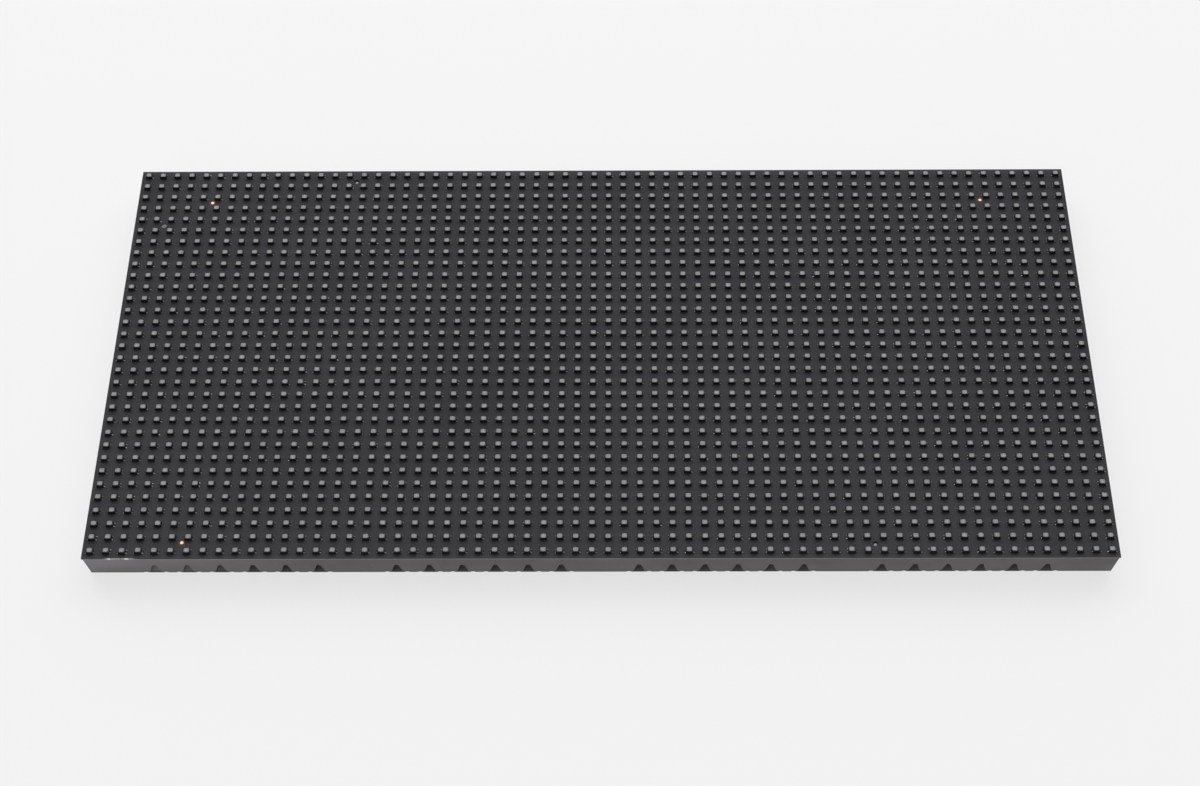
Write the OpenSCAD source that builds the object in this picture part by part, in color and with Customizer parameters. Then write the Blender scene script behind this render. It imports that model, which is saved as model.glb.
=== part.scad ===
// Flexible LED display module: a grid of surface-mount LEDs on a thin bendable circuit board,
// carried by a soft moulded shell with notched walls and magnets flush with its back.
// Frame: X along the long side, Y up the face, Z out of the LED face; it lies on its back at z = 0.

/* [LED face] */
// Distance between neighbouring LED centres
led_pitch = 4; // [3.6:0.1:5]
// LEDs along the long side
led_columns = 64; // [56:4:80]
// LEDs along the short side
led_rows = 32; // [28:2:40]
// LED package size along the long side
led_w = 1.8; // [1.4:0.1:2.4]
// LED package size along the short side
led_d = 1.5; // [1.3:0.1:2.6]
// LED package height above the board
led_h = 0.9; // [0.7:0.05:1.5]
// Distance from the outermost LED centres to the board's edge
led_margin = 1.95; // [1.3:0.05:2.2]

/* [Circuit board] */
// Thickness of the flexible board
board_t = 0.6; // [0.4:0.1:1]
// Diameter of the locating holes through the board
locating_hole_d = 1.4; // [1:0.1:1.8]

/* [Soft shell] */
// Depth of the shell, from its back to the board
shell_depth = 7.7; // [6.9:0.1:10]
// How far the board overhangs the shell's top edge
board_overhang = 0.2; // [0:0.1:0.5]
// How far each outer wall leans inwards from top to back
wall_draft = 0.85; // [0.4:0.05:1.6]
// Bevel along the back edge of the outer walls
back_bevel = 0.2; // [0.1:0.1:0.6]
// Width of the rim along the two long sides, at the back
side_rim_w = 3.6; // [2.4:0.2:5]
// Width of the rim along the two short sides, at the back
end_rim_w = 8; // [5:0.5:10]
// Width of the ribs that cross the short way
cross_rib_w = 6; // [4:0.5:9]
// Width of the ribs that run the long way
long_rib_w = 2.4; // [1.6:0.2:4]
// Number of ribs that run the long way
long_ribs = 5; // [5:2:7]
// Gap round each locating peg in its hole
peg_gap = 0.2; // [0.1:0.05:0.3]
// How far the pegs stay below the board's face
peg_drop = 0.45; // [0.1:0.05:0.5]

/* [Bending notches] */
// Width of a notch at its foot
notch_w = 3.4; // [2.2:0.2:3.8]
// Height of a notch's top above the back
notch_h = 4.2; // [2.4:0.1:4.8]
// Thickness of the tie that closes a notch along the back
notch_tie = 0.4; // [0.3:0.05:0.8]
// Radius of a notch's round top
notch_top_r = 0.6; // [0.3:0.05:0.8]
// Widening of a notch at its foot, on each side
notch_flare = 0.25; // [0.1:0.05:0.5]
// Distance between neighbouring notches
notch_spacing = 8.17; // [7:0.1:10]
// Width of the scallops in the wall's back edge, one on each side of a notch
scallop_w = 1.6; // [1.2:0.1:2.2]
// Height of the scallops
scallop_h = 0.5; // [0.3:0.05:0.7]

/* [Magnets] */
// Diameter of the disc magnets
magnet_d = 10; // [8:0.5:12]
// Thickness of the disc magnets
magnet_t = 4; // [2:0.5:5]
// Bevel round both edges of a magnet
magnet_bevel = 0.3; // [0.1:0.1:0.6]
// Gap between a magnet and its pocket wall
magnet_gap = 0.1; // [0.05:0.05:0.2]
// Rubber left round a magnet pocket
boss_wall = 2.1; // [1.5:0.1:3]
// Rubber left between the outer magnets and the shell's edge
magnet_edge_wall = 1.5; // [1:0.1:3]
// Magnets along the long side
magnet_columns = 5; // [5:1:6]
// Magnets along the short side
magnet_rows = 3; // [3:2:3]

/* [Chips] */
// Driver chip body length
driver_l = 8.65; // [8:0.05:9.5]
// Driver chip lead pitch
driver_lead_pitch = 0.635; // [0.5:0.005:0.65]
// Driver chip leads on each side
driver_leads = 12; // [8:1:12]
// Row switch chip body length
row_switch_l = 9.9; // [9:0.1:11]
// Row switch chip lead pitch
row_switch_lead_pitch = 1.27; // [1:0.01:1.27]
// Row switch chip leads on each side
row_switch_leads = 8; // [4:1:8]
// Bus buffer chip body length
buffer_l = 6.5; // [6:0.1:7.5]
// Bus buffer chip lead pitch
buffer_lead_pitch = 0.65; // [0.5:0.01:0.65]
// Bus buffer chip leads on each side
buffer_leads = 10; // [7:1:10]
// Width of a chip body between its lead rows
chip_body_w = 3.9; // [3.5:0.1:4.5]
// Width of a chip over its leads
chip_span = 6; // [5.6:0.1:6.6]
// Height of a chip above the board
chip_h = 1.6; // [1.2:0.1:2]
// Thickness of a chip lead
lead_t = 0.2; // [0.15:0.05:0.25]

/* [Capacitors and resistors] */
// Diameter of a bulk capacitor's can
can_d = 6.3; // [5:0.1:8]
// Height of a bulk capacitor
can_h = 5.4; // [4.4:0.1:6.4]
// Length of a decoupling capacitor
chip_cap_l = 2; // [1.6:0.1:3.2]
// Width of a decoupling capacitor
chip_cap_w = 1.25; // [0.8:0.05:1.6]
// Height of a decoupling capacitor
chip_cap_h = 1; // [0.6:0.1:1.4]
// Length of a current-setting resistor
resistor_l = 1.6; // [1:0.1:2]
// Width of a current-setting resistor
resistor_w = 0.8; // [0.5:0.05:1.25]
// Height of a current-setting resistor
resistor_h = 0.45; // [0.3:0.05:0.6]

/* [Data sockets] */
// Contacts in each of a data socket's two rows
data_pins = 8; // [5:1:10]
// Distance between data contacts
data_pin_pitch = 2.54; // [2:0.01:2.54]
// Thickness of a square data contact
data_pin_t = 0.64; // [0.5:0.02:0.8]
// Depth of a data socket, across its rows
data_socket_d = 8.9; // [8.5:0.1:10]
// Height of a data socket above the board
data_socket_h = 6.6; // [5.6:0.1:6.8]
// Wall of a data socket
data_socket_wall = 1.2; // [0.8:0.1:1.6]
// Floor of a data socket
data_socket_floor = 1.6; // [1.2:0.1:2.2]
// Width of the key slot in a data socket's wall
key_slot_w = 4.5; // [3:0.1:6]

/* [Power socket] */
// Contacts in the power socket
power_pins_n = 4; // [2:1:5]
// Distance between power contacts
power_pin_pitch = 3.96; // [3:0.01:4]
// Thickness of a square power contact
power_pin_t = 1.14; // [0.8:0.02:1.3]
// Depth of the power socket's floor
power_socket_d = 8.2; // [7.5:0.1:9.5]
// Height of the power socket above the board
power_socket_h = 6.6; // [5.6:0.1:6.8]
// Floor of the power socket
power_socket_floor = 2.4; // [1.8:0.1:3]
// Thickness of the power socket's lock wall
power_lock_wall = 1.2; // [0.8:0.1:1.6]

/* [Hidden] */
$fn = 48;
cut = 1;
board_w = (led_columns - 1) * led_pitch + 2 * led_margin;
board_h = (led_rows - 1) * led_pitch + 2 * led_margin;
board_back = shell_depth;
board_face = board_back + board_t;
shell_top_w = board_w - 2 * board_overhang;
shell_top_h = board_h - 2 * board_overhang;
shell_back_w = shell_top_w - 2 * wall_draft;
shell_back_h = shell_top_h - 2 * wall_draft;
inner_w = shell_back_w - 2 * end_rim_w;
inner_h = shell_back_h - 2 * side_rim_w;

magnet_inset = magnet_d / 2 + magnet_gap + magnet_edge_wall;
magnet_step_x = (shell_back_w - 2 * magnet_inset) / (magnet_columns - 1);
magnet_step_y = (shell_back_h - 2 * magnet_inset) / (magnet_rows - 1);
pocket_d = magnet_d + 2 * magnet_gap;
boss_d = pocket_d + 2 * boss_wall;

// The cross ribs stand on the magnet columns, so the bays lie between those columns.
bays = magnet_columns - 1;
bay_clear = magnet_step_x - cross_rib_w;
rib_step = inner_h / (long_ribs + 1);
notches_per_bay = floor((magnet_step_x - boss_d - notch_w) / notch_spacing) + 1;
scallop_r = (scallop_w * scallop_w / 4 + scallop_h * scallop_h) / (2 * scallop_h);
scallop_depth = 1.2;
scallop_x = (notch_w + scallop_w) / 2;

// Sixteen columns share a chip for each of three colours, in an upper and a lower half.
columns_per_driver = 16;
colours = 3;
drivers_per_bay = ceil(led_columns * colours / columns_per_driver / bays);
drivers_per_half = drivers_per_bay * bays;
driver_count = 2 * drivers_per_half;
driver_step = bay_clear / drivers_per_bay;
driver_row_y = 1.5 * rib_step;
service_row_y = 0.5 * rib_step;
row_switch_count = bays;
buffer_count = 3;
bulk_cap_count = 4;
passive_gap = 1.2;
decoupler_offset = chip_span / 2 + passive_gap + chip_cap_w / 2;
resistor_offset = chip_span / 2 + passive_gap + resistor_w / 2;

chip_standoff = 0.12;
chip_flank = 0.12;
waist_share = 0.4;
lead_share = 0.4;
lead_bite = 0.3;
foot_l = 0.55;
mark_d = 0.8;
mark_inset = 0.96;
mark_depth = 0.06;

can_base_t = 0.9;
can_base_lip = 0.15;
can_base_w = can_d + 2 * can_base_lip;
can_base_corner = can_d / 4;
can_edge = 0.35;
can_groove = 0.25;
can_groove_rise = 1.1;
can_groove_z = can_base_t + can_groove_rise;

data_end_room = 2.6;
data_socket_l = data_pins * data_pin_pitch + 2 * (data_end_room + data_socket_wall);
contact_gap = 0.02;
contact_tip = 1;
power_end_room = 1;
power_socket_l = power_pins_n * power_pin_pitch + 2 * power_end_room;
lock_slot_w = 2;

// Locating holes, as LED cells counted from the lower left: each sits between four LEDs.
locating_cells = [
    [1, led_rows - 6],
    [14, led_rows - 2],
    [led_columns - 16, 0],
];
peg_post_wall = 0.6;
peg_post_r = locating_hole_d / 2 + peg_post_wall;

function led_x(column) = (column - (led_columns - 1) / 2) * led_pitch;
function led_y(row) = (row - (led_rows - 1) / 2) * led_pitch;
function cell_place(cell) = [led_x(cell[0] + 0.5), led_y(cell[1] + 0.5)];
function magnet_x(i) = (i - (magnet_columns - 1) / 2) * magnet_step_x;
function magnet_y(i) = (i - (magnet_rows - 1) / 2) * magnet_step_y;
function bay_x(bay) = magnet_x(bay) + magnet_step_x / 2;
function notch_x(bay, k) = bay_x(bay) + (k - (notches_per_bay - 1) / 2) * notch_spacing;
function rib_y(i) = (i - (long_ribs - 1) / 2) * rib_step;

// Drivers count along the upper half first, then along the lower half.
function driver_place(i) =
    let (half = floor(i / drivers_per_half), k = i % drivers_per_half)
    let (slot = k % drivers_per_bay - (drivers_per_bay - 1) / 2)
    [bay_x(floor(k / drivers_per_bay)) + slot * driver_step, half == 0 ? driver_row_y : -driver_row_y];
function row_switch_place(i) =
    let (outer_bay = i < row_switch_count / 2 ? 0 : bays - 1)
    [bay_x(outer_bay) + (i % 2 == 0 ? -1 : 1) * bay_clear / 4, -service_row_y];
function buffer_place(i) =
    [bay_x(1) + (i - (buffer_count - 1) / 2) * bay_clear / buffer_count, -service_row_y];
function bulk_cap_place(i) =
    [bay_x(bays - 2) + (i - (bulk_cap_count - 1) / 2) * bay_clear / bulk_cap_count, -service_row_y];
data_in_place = [bay_x(0), service_row_y];
data_out_place = [bay_x(bays - 1), service_row_y];
power_place = [bay_x(bays - 2), service_row_y];

// Puts a piece that is modelled standing on z = 0 onto the board's back, facing away from the LEDs.
module on_board_back(place) {
    translate([place[0], place[1], board_back]) rotate([180, 0, 0]) children();
}

// Side view of the shell's outer walls: wide under the board, leaning in to a bevelled back edge.
module wall_profile(top, back) {
    polygon([
        [-top / 2, shell_depth],
        [-back / 2, back_bevel],
        [-back / 2 + back_bevel, 0],
        [back / 2 - back_bevel, 0],
        [back / 2, back_bevel],
        [top / 2, shell_depth],
    ]);
}

module shell_envelope() {
    intersection() {
        rotate([90, 0, 0])
            linear_extrude(shell_top_h + 2 * cut, center = true) wall_profile(shell_top_w, shell_back_w);
        rotate([90, 0, 90])
            linear_extrude(shell_top_w + 2 * cut, center = true) wall_profile(shell_top_h, shell_back_h);
    }
}

// Plan of the moulding: rim and ribs round open cells, a round boss for each magnet, and the pegs' posts.
module shell_plan() {
    difference() {
        square([shell_top_w, shell_top_h], center = true);
        for (bay = [0:bays - 1], row = [0:long_ribs]) shell_cell(bay, row);
    }
    for (i = [0:magnet_columns - 1], j = [0:magnet_rows - 1])
        translate([magnet_x(i), magnet_y(j)]) circle(d = boss_d);
    for (cell = locating_cells) peg_post_plan(cell_place(cell));
}

// One open cell, between two cross ribs and two long ribs, or a rib and a rim at the shell's outer cells.
module shell_cell(bay, row) {
    left = bay == 0 ? -inner_w / 2 : magnet_x(bay) + cross_rib_w / 2;
    right = bay == bays - 1 ? inner_w / 2 : magnet_x(bay + 1) - cross_rib_w / 2;
    low = row == 0 ? -inner_h / 2 : rib_y(row - 1) + long_rib_w / 2;
    high = row == long_ribs ? inner_h / 2 : rib_y(row) - long_rib_w / 2;
    translate([left, low]) square([right - left, high - low]);
}

// A bell-shaped notch over its tie: flared foot, leaning sides and a round top.
module notch_profile() {
    shoulder = notch_h - notch_top_r;
    polygon([
        [-notch_w / 2, notch_tie],
        [notch_w / 2, notch_tie],
        [notch_w / 2 - notch_flare, notch_tie + notch_flare],
        [notch_top_r, shoulder],
        [-notch_top_r, shoulder],
        [-notch_w / 2 + notch_flare, notch_tie + notch_flare],
    ]);
    translate([0, shoulder]) circle(r = notch_top_r);
}

module bending_notches() {
    for (bay = [0:bays - 1], k = [0:notches_per_bay - 1])
        translate([notch_x(bay, k), 0, 0])
            rotate([90, 0, 0]) linear_extrude(shell_top_h + 2 * cut, center = true) notch_profile();
}

// Shallow arches that lift the back edge of the long walls on both sides of each notch.
module edge_scallops() {
    for (bay = [0:bays - 1], k = [0:notches_per_bay - 1], side = [-1, 1], wall = [-1, 1])
        translate([notch_x(bay, k) + side * scallop_x, wall * shell_back_h / 2, scallop_h - scallop_r])
            rotate([90, 0, 0]) cylinder(r = scallop_r, h = 2 * scallop_depth, center = true);
}

module magnet_pockets() {
    for (i = [0:magnet_columns - 1], j = [0:magnet_rows - 1])
        translate([magnet_x(i), magnet_y(j), -cut]) cylinder(d = pocket_d, h = magnet_t + cut);
}

// Plan of the post under a locating peg, which a web ties to the nearest rim.
module peg_post_plan(place) {
    near_end = shell_top_w / 2 - abs(place[0]) < shell_top_h / 2 - abs(place[1]);
    translate(place) circle(r = peg_post_r);
    if (near_end)
        translate([place[0] > 0 ? place[0] : -shell_top_w / 2, place[1] - peg_post_r])
            square([shell_top_w / 2 - abs(place[0]), 2 * peg_post_r]);
    else
        translate([place[0] - peg_post_r, place[1] > 0 ? place[1] : -shell_top_h / 2])
            square([2 * peg_post_r, shell_top_h / 2 - abs(place[1])]);
}

// A locating peg, which stands in its post above the notches and reaches into the board's hole.
module locating_peg(place) {
    translate([place[0], place[1], notch_h])
        cylinder(d = locating_hole_d - 2 * peg_gap, h = board_face - peg_drop - notch_h);
}

module soft_shell() {
    color("#4a4b4d") {
        difference() {
            intersection() {
                linear_extrude(shell_depth) shell_plan();
                shell_envelope();
            }
            bending_notches();
            edge_scallops();
            magnet_pockets();
        }
        for (cell = locating_cells) locating_peg(cell_place(cell));
    }
}

module circuit_board() {
    color("#2b2c2f") translate([0, 0, board_back]) difference() {
        translate([-board_w / 2, -board_h / 2, 0]) cube([board_w, board_h, board_t]);
        for (cell = locating_cells)
            translate(concat(cell_place(cell), -cut)) cylinder(d = locating_hole_d, h = board_t + 2 * cut);
    }
}

// A quarter of the LED grid: one package at each crossing of its columns and rows.
module leds(first_column, last_column, first_row, last_row) {
    color("#17181a")
        for (row = [first_row:last_row], column = [first_column:last_column])
            translate([led_x(column) - led_w / 2, led_y(row) - led_d / 2, board_face])
                cube([led_w, led_d, led_h]);
}

module magnets() {
    color("#c9ccd0") for (i = [0:magnet_columns - 1], j = [0:magnet_rows - 1])
        translate([magnet_x(i), magnet_y(j), 0]) rotate_extrude() polygon([
            [0, 0],
            [magnet_d / 2 - magnet_bevel, 0],
            [magnet_d / 2, magnet_bevel],
            [magnet_d / 2, magnet_t - magnet_bevel],
            [magnet_d / 2 - magnet_bevel, magnet_t],
            [0, magnet_t],
        ]);
}

// A moulded chip body with sloping flanks and a dimple over its first lead.
module chip_body(length) {
    waist = chip_standoff + waist_share * (chip_h - chip_standoff);
    difference() {
        rotate([90, 0, 90]) linear_extrude(length, center = true) polygon([
            [-chip_body_w / 2 + chip_flank, chip_standoff],
            [chip_body_w / 2 - chip_flank, chip_standoff],
            [chip_body_w / 2, waist],
            [chip_body_w / 2 - chip_flank, chip_h],
            [-chip_body_w / 2 + chip_flank, chip_h],
            [-chip_body_w / 2, waist],
        ]);
        translate([-length / 2 + mark_inset, chip_body_w / 2 - mark_inset, chip_h - mark_depth])
            cylinder(d = mark_d, h = cut);
    }
}

// One bent lead: out of the body's waist, down to the board and along it.
module chip_lead(width) {
    waist = chip_standoff + waist_share * (chip_h - chip_standoff);
    rotate([90, 0, 90]) linear_extrude(width, center = true) polygon([
        [chip_body_w / 2 - lead_bite, waist - lead_t / 2],
        [chip_span / 2 - foot_l, 0],
        [chip_span / 2, 0],
        [chip_span / 2, lead_t],
        [chip_span / 2 - foot_l + lead_t / 2, lead_t],
        [chip_body_w / 2 - lead_bite, waist + lead_t],
    ]);
}

module chip(length, lead_pitch, leads_per_side) {
    chip_body(length);
    for (i = [0:leads_per_side - 1])
        translate([(i - (leads_per_side - 1) / 2) * lead_pitch, 0, 0]) {
            chip_lead(lead_share * lead_pitch);
            mirror([0, 1, 0]) chip_lead(lead_share * lead_pitch);
        }
}

module driver(i) {
    color("#1d1e20") on_board_back(driver_place(i - 1)) chip(driver_l, driver_lead_pitch, driver_leads);
}

module row_switch(i) {
    color("#1d1e20") on_board_back(row_switch_place(i - 1))
        chip(row_switch_l, row_switch_lead_pitch, row_switch_leads);
}

module bus_buffer(i) {
    color("#1d1e20") on_board_back(buffer_place(i - 1)) chip(buffer_l, buffer_lead_pitch, buffer_leads);
}

// One decoupling capacitor stands beside each driver, on the side away from the middle.
module decoupling_capacitors() {
    color("#a98f6c") for (i = [0:driver_count - 1]) {
        place = driver_place(i);
        on_board_back([place[0], place[1] + sign(place[1]) * decoupler_offset])
            translate([-chip_cap_l / 2, -chip_cap_w / 2, 0]) cube([chip_cap_l, chip_cap_w, chip_cap_h]);
    }
}

// One resistor stands beside each driver, on the side towards the middle, and sets its current.
module setting_resistors() {
    color("#26272a") for (i = [0:driver_count - 1]) {
        place = driver_place(i);
        on_board_back([place[0], place[1] - sign(place[1]) * resistor_offset])
            translate([-resistor_l / 2, -resistor_w / 2, 0]) cube([resistor_l, resistor_w, resistor_h]);
    }
}

// A can with a rounded crown and a crimp groove, on a base with two cut corners.
module bulk_capacitor(i) {
    color("#b9bcc0") on_board_back(bulk_cap_place(i - 1)) {
        linear_extrude(can_base_t) polygon([
            [-can_base_w / 2, -can_base_w / 2],
            [can_base_w / 2 - can_base_corner, -can_base_w / 2],
            [can_base_w / 2, -can_base_w / 2 + can_base_corner],
            [can_base_w / 2, can_base_w / 2 - can_base_corner],
            [can_base_w / 2 - can_base_corner, can_base_w / 2],
            [-can_base_w / 2, can_base_w / 2],
        ]);
        rotate_extrude() polygon([
            [0, can_base_t],
            [can_d / 2, can_base_t],
            [can_d / 2, can_groove_z - can_groove],
            [can_d / 2 - can_groove, can_groove_z],
            [can_d / 2, can_groove_z + can_groove],
            [can_d / 2, can_h - can_edge],
            [can_d / 2 - can_edge, can_h],
            [0, can_h],
        ]);
    }
}

module data_contacts(size, low, high) {
    for (i = [0:data_pins - 1], side = [-0.5, 0.5])
        translate([(i - (data_pins - 1) / 2) * data_pin_pitch, side * data_pin_pitch, low])
            translate([-size / 2, -size / 2, 0]) cube([size, size, high - low]);
}

// A keyed box open away from the board, with a contact hole for each pin in its floor.
module data_socket(place) {
    color("#1f2022") on_board_back(place) difference() {
        translate([-data_socket_l / 2, -data_socket_d / 2, 0])
            cube([data_socket_l, data_socket_d, data_socket_h]);
        translate([data_socket_wall - data_socket_l / 2, data_socket_wall - data_socket_d / 2, data_socket_floor])
            cube([data_socket_l - 2 * data_socket_wall, data_socket_d - 2 * data_socket_wall, data_socket_h]);
        translate([-key_slot_w / 2, -data_socket_d / 2 - cut, data_socket_floor])
            cube([key_slot_w, data_socket_wall + 2 * cut, data_socket_h]);
        data_contacts(data_pin_t + 2 * contact_gap, -cut, data_socket_floor + cut);
    }
}

module data_pin_set(place) {
    color("#d8b45a") on_board_back(place) data_contacts(data_pin_t, 0, data_socket_h - contact_tip);
}

module power_contacts(size, low, high) {
    for (i = [0:power_pins_n - 1])
        translate([(i - (power_pins_n - 1) / 2) * power_pin_pitch - size / 2, -size / 2, low])
            cube([size, size, high - low]);
}

// A floor that carries the contacts, with a slotted lock wall along one side.
module power_socket() {
    color("#e9e8e2") on_board_back(power_place) difference() {
        union() {
            translate([-power_socket_l / 2, -power_socket_d / 2, 0])
                cube([power_socket_l, power_socket_d, power_socket_floor]);
            translate([-power_socket_l / 2, power_socket_d / 2 - power_lock_wall, 0])
                cube([power_socket_l, power_lock_wall, power_socket_h]);
        }
        for (side = [-1, 1])
            translate([side * power_socket_l / 4 - lock_slot_w / 2, 0, power_socket_floor])
                cube([lock_slot_w, power_socket_d, power_socket_h]);
        power_contacts(power_pin_t + 2 * contact_gap, -cut, power_socket_floor + cut);
    }
}

module power_pins() {
    color("#cfd2d6") on_board_back(power_place) power_contacts(power_pin_t, 0, power_socket_h - contact_tip);
}

middle_column = floor(led_columns / 2);
middle_row = floor(led_rows / 2);

soft_shell();
circuit_board();
magnets();
leds(0, middle_column - 1, middle_row, led_rows - 1);  // leds_upper_left
leds(middle_column, led_columns - 1, middle_row, led_rows - 1);  // leds_upper_right
leds(0, middle_column - 1, 0, middle_row - 1);  // leds_lower_left
leds(middle_column, led_columns - 1, 0, middle_row - 1);  // leds_lower_right
data_socket(data_in_place);  // data_in_socket
data_pin_set(data_in_place);  // data_in_pins
data_socket(data_out_place);  // data_out_socket
data_pin_set(data_out_place);  // data_out_pins
power_socket();
power_pins();
decoupling_capacitors();
setting_resistors();
for (i = [1:bulk_cap_count]) bulk_capacitor(i);
for (i = [1:buffer_count]) bus_buffer(i);
for (i = [1:row_switch_count]) row_switch(i);
for (i = [1:driver_count]) driver(i);
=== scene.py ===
"""A flexible LED module: rows of small lamps on a thin black board, held by a soft moulded back.

Shapes are worked out in millimetres and put into their meshes in metres. The frame is the part's
own: +X along the long side, +Y up the lamp face, +Z out of that face, and the back of the soft
moulding on z = 0.
"""

from math import cos, radians, sin

import bpy
import numpy as np
from mathutils import Matrix, Vector


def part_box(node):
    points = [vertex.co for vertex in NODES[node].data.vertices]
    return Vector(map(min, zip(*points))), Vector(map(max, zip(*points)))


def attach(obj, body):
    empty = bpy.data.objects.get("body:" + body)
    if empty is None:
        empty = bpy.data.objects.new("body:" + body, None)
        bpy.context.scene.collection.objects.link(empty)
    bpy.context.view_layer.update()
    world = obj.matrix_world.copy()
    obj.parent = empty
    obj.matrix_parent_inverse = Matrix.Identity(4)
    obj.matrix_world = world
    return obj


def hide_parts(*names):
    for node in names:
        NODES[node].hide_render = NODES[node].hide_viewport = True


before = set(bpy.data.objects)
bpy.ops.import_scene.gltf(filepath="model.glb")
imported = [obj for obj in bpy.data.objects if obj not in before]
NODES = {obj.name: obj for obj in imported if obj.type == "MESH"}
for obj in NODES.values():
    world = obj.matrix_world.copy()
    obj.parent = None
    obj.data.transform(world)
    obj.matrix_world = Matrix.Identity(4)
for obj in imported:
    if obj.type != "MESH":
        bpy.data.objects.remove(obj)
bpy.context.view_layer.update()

MM = 0.001
chance = np.random.default_rng(64)


# Sizes and places in millimetres, from the frame where it has them

def node_box(node):
    """Lowest and highest corner of a solid."""
    return np.array(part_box(node)) / MM


def middles(word):
    """Centres of the boxes of the solids word_1, word_2 and so on."""
    count = sum(name.startswith(word) for name in NODES)
    return np.array([node_box(word + str(i + 1)).mean(axis=0) for i in range(count)])


PITCH = 4.0
COLUMNS = 64
ROWS = 32
BOARD_LOW, BOARD_HIGH = node_box("circuit_board")
HALF_WIDTH, HALF_HEIGHT, FACE_Z = BOARD_HIGH
REAR_Z = BOARD_LOW[2]

# A lamp: the package from its block of the grid, the frosted window in its top, and how far behind
# and in front of its middle its terminals sit
LED_BLOCK = np.ptp(node_box("leds_upper_left"), axis=0)
LED_WIDTH, LED_DEPTH = LED_BLOCK[:2] - PITCH * (np.array([COLUMNS, ROWS]) / 2 - 1)
LED_TOP = LED_BLOCK[2]
LED_ROUND = 0.06
LED_BEVEL = 0.02
WINDOW_WIDTH, WINDOW_DEPTH, WINDOW_ROUND = 1.41, 1.37, 0.31
TERMINAL_REAR, TERMINAL_FRONT = 0.44, -0.46

# How far a placing machine is off, as spreads: shift, turn and tilt in radians
SHIFT_SPREAD, TURN_SPREAD, TILT_SPREAD = 0.022, 0.012, 0.008

# Marks on the face, and damage to the near edge as a place with the widths where it is full and gone
DOTS = ((-107.35, 52.3), (-103.5, -59.4), (104.3, 52.6))
OPEN_HOLES = ((-68.0, 60.0), (68.0, -60.0))
FILLED_HOLE = (-120.0, 44.0)
EDGE_SCUFF = (-118.5, 3.0, 5.5)
EDGE_CHIPS = ((-121.1, 0.2, 0.5), (-116.7, 0.3, 0.7))

# Parts on the rear: chips with leads to a side and lead pitch, two-ended parts as length, width and
# height with the length of their end caps, and pads and legs as length, width and corner radius
DRIVERS = middles("driver_")
ROW_SWITCHES = middles("row_switch_")
BUS_BUFFERS = middles("bus_buffer_")
LEAD_ROWS = ((DRIVERS, 12, 0.635), (ROW_SWITCHES, 8, 1.27), (BUS_BUFFERS, 10, 0.65))
CHIP_BODY_WIDTH = 3.9
LEAD_REACH = 2.85
LEAD_PAD = (1.25, 0.36, 0.1)
CERAMIC_SIZE = (2.0, 1.25, 1.0)
CERAMIC_CAP = 0.45
RESISTOR_SIZE = (1.6, 0.8, 0.45)
RESISTOR_CAP = 0.32
CANS = middles("bulk_capacitor_")
CAN_CROWN_Z = node_box("bulk_capacitor_1")[0, 2]
CAN_BASE = 0.9
CAN_LEG = (2.2, 0.8, 0.15)
CAN_LEG_REACH = 3.3
BAY_X = DRIVERS[1:12:3, 0]
TEST_PAD_Y = 47.0


# Shapes

def rounded_loop(width, depth, radius, per_corner=2):
    """A rectangle with quarter-circle corners, walked counter-clockwise: corner centre plus radius
    times (cosine, sine) of an angle that runs through a quarter turn at each corner."""
    angle = np.add.outer(np.arange(4) * np.pi / 2, np.linspace(0, np.pi / 2, per_corner)).ravel()
    side_x = np.repeat([1, -1, -1, 1], per_corner) * (width / 2 - radius)
    side_y = np.repeat([1, 1, -1, -1], per_corner) * (depth / 2 - radius)
    return np.stack([side_x + radius * np.cos(angle), side_y + radius * np.sin(angle)], axis=1)


def ring(radius, count):
    """A circle: radius times (cosine, sine) of evenly spaced angles."""
    angle = np.linspace(0, 2 * np.pi, count, endpoint=False)
    return radius * np.stack([np.cos(angle), np.sin(angle)], axis=1)


def at_level(flat, height):
    """Flat points lifted to one height."""
    return np.column_stack([flat, np.full(len(flat), height)])


def loft(loops):
    """A skin over closed loops of equal count: each point joins the next one around and the same
    ones on the next loop, and the first and last loop are closed by one face each."""
    count, around = loops.shape[:2]
    index = np.arange(count * around).reshape(count, around)
    ahead = np.roll(index, -1, axis=1)
    skin = np.stack([index[:-1], ahead[:-1], ahead[1:], index[1:]], axis=-1).reshape(-1, 4)
    return loops.reshape(-1, 3), [skin, index[:1, ::-1], index[-1:]]


def raised(steps):
    """A skin over flat loops, each lifted to its own height, from the lowest step to the last."""
    return loft(np.stack([at_level(loop, height) for loop, height in steps]))


def turned(profile, count=16):
    """A shape of revolution: a circle at each radius and height of the profile, skinned in turn."""
    return raised([(ring(radius, count), height) for radius, height in profile])


def wedge(toe, top, half_length, heel, cheek, sunk):
    """A solder fillet with a hollow face. Its cross-section goes from the heel out to the toe, in and
    up to the cheek and back to the top, and is carried along the terminal. toe and top hold its reach
    and height at the start, the middle and the end."""
    cheek_rise = 0.38
    toe, top, zero = np.array(toe), np.array(top), np.zeros(3)
    away = np.stack([zero - heel, toe, cheek * toe, zero - heel], axis=1)
    across = np.repeat([[-half_length], [0.0], [half_length]], 4, axis=1)
    up = np.stack([zero - sunk, zero, cheek_rise * top, top], axis=1)
    return loft(np.stack([away, across, up], axis=-1)[::-1])


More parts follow.
